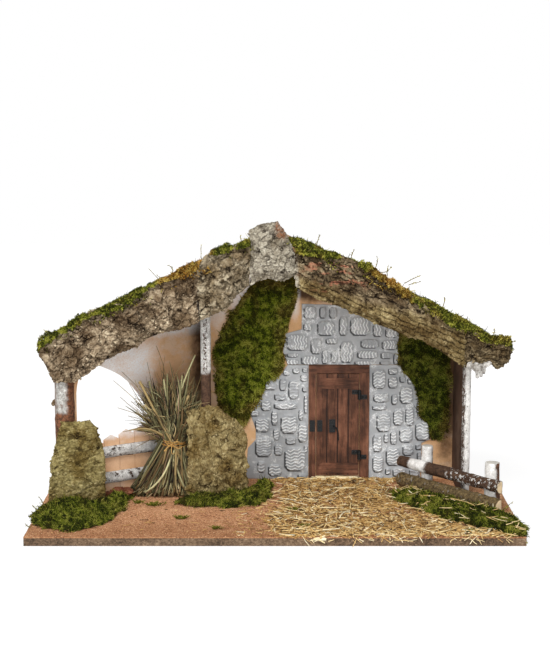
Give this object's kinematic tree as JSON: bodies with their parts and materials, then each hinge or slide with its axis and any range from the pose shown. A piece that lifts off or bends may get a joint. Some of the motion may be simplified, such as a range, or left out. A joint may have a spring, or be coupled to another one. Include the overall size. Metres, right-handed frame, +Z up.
{
  "type": "nativity stable",
  "caption": "Rustic nativity stable: open-fronted two-bay shelter with bark-edged gable roof, stone-faced wall, hinged plank door, arched side window, fences and sheaf on a board.",
  "frame": {"origin": "middle of the base board's underside", "axes": "+X to the right seen from the front, +Y to the back, +Z up; the door opens towards -Y"},
  "size_m": [0.5, 0.25, 0.3138],
  "materials": {
    "board": "sawn edge, stained brown-grey",
    "sand": "glued coarse sand, orange-brown",
    "panel": "bare fibreboard with sprayed white and brown patches",
    "dark_panel": "stained dark brown",
    "picket_wood": "bare fibreboard",
    "birch": "white birch bark with dark flecks",
    "dark_birch": "dark branch bark with white patches",
    "cork_bark": "rough cracked bark",
    "stone_card": "embossed sheet, grey with white dry-brushed ridges",
    "door_wood": "stained red-brown, satin",
    "black_iron": "black, semi-gloss",
    "moss": "preserved moss",
    "straw": "chopped straw",
    "dry_stems": "dry green-brown grass stems"
  },
  "bodies": {
    "stable": {"base_board": "board", "sand_layer": "sand", "back_wall": "panel", "slanted_wall": "panel", "partition_wall": "panel", "roof_board_left": "panel", "roof_board_right": "panel", "ridge_batten": "panel", "right_wall": "dark_panel", "picket_1": "picket_wood", "picket_2": "picket_wood", "picket_3": "picket_wood", "picket_4": "picket_wood", "picket_5": "picket_wood", "picket_6": "picket_wood", "left_post": "birch", "middle_post": "birch", "right_post": "birch", "picket_rail_upper": "birch", "picket_rail_lower": "birch", "fence_post_rear": "birch", "fence_post_front": "birch", "fence_rail_upper": "dark_birch", "fence_rail_lower": "dark_birch", "fascia_left_lower": "cork_bark", "fascia_left_upper": "cork_bark", "ridge_bark": "cork_bark", "fascia_right": "cork_bark", "fascia_right_end": "cork_bark", "left_cork_slab": "cork_bark", "middle_cork_slab": "cork_bark", "stone_card_left": "stone_card", "stone_card_right": "stone_card", "stone_card_top": "stone_card", "door_jamb_left": "door_wood", "door_jamb_right": "door_wood", "door_head": "door_wood", "hinge_hook_upper": "black_iron", "hinge_hook_lower": "black_iron", "latch_keeper": "black_iron", "moss_roof_left": "moss", "moss_roof_right": "moss", "moss_wall_left": "moss", "moss_wall_right": "moss", "moss_ground_left": "moss", "moss_ground_middle": "moss", "moss_ground_right": "moss", "straw_mat": "straw", "sheaf_tie": "straw", "sheaf": "dry_stems"},
    "door": {"door_leaf": "door_wood", "door_batten_top": "door_wood", "door_batten_bottom": "door_wood", "hinge_strap_upper": "black_iron", "hinge_strap_lower": "black_iron", "latch_plate": "black_iron", "pull_plate": "black_iron", "door_pull": "black_iron"}
  },
  "joints": [
    {"name": "door_swing", "type": "hinge", "parent": "stable", "child": "door", "pos_m": [0.0956, 0.1107, 0], "axis": [0, 0, 1], "range_deg": [0, 105]}
  ]
}
